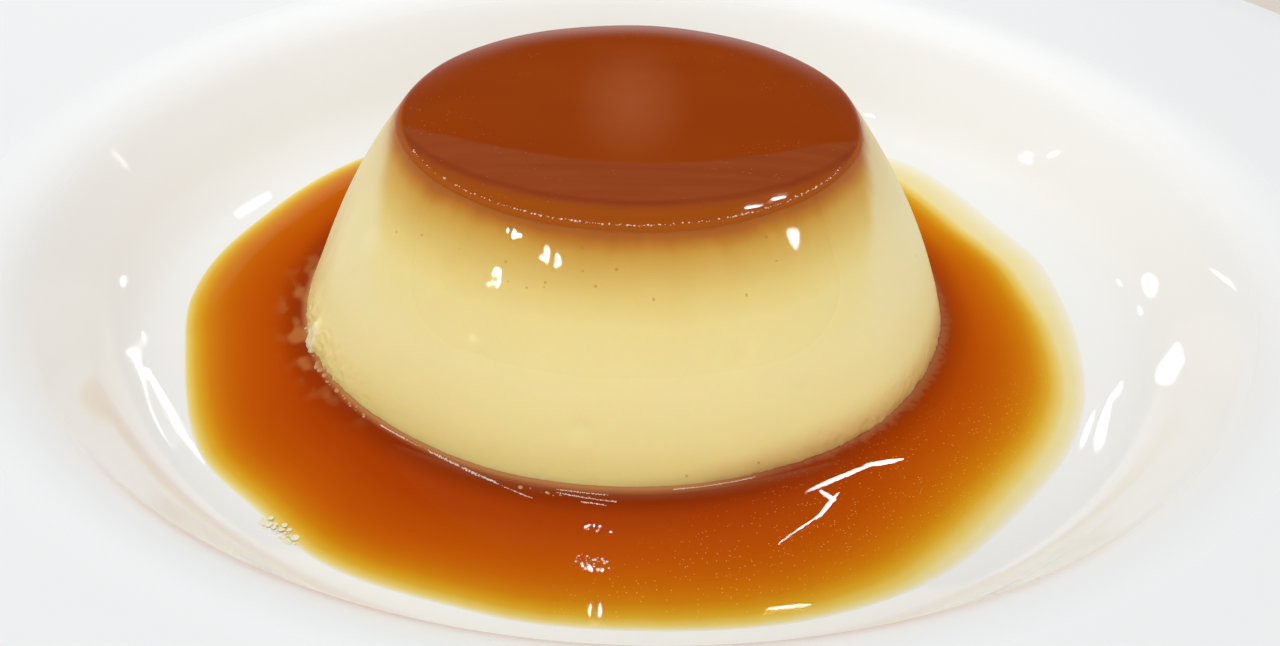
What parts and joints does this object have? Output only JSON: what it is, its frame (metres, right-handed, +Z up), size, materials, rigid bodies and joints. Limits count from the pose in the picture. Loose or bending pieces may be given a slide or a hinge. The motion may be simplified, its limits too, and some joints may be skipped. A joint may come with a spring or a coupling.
{
  "type": "creme caramel flan",
  "caption": "Creme caramel flan with a dark caramel top, standing in a pool of caramel sauce in the well of a deep white rimmed plate.",
  "frame": {"origin": "middle of the plate's foot ring, on the surface that the plate stands on", "axes": "+Z up; -Y towards the front of the dish and +X to its right, with the flan a little behind and to the left of the plate's middle"},
  "size_m": [0.25, 0.25, 0.0386],
  "materials": {
    "porcelain": "white glaze, high gloss",
    "custard": "set egg custard, moist and softly glossy, stained brown below the caramel",
    "caramel": "caramel-soaked layer, dark red-brown, wet and very glossy",
    "caramel_sauce": "clear amber syrup, very glossy, paling to yellow where it is thin"
  },
  "bodies": {
    "root": {"plate": "porcelain", "custard": "custard", "caramel_top": "caramel", "sauce": "caramel_sauce"}
  },
  "joints": []
}
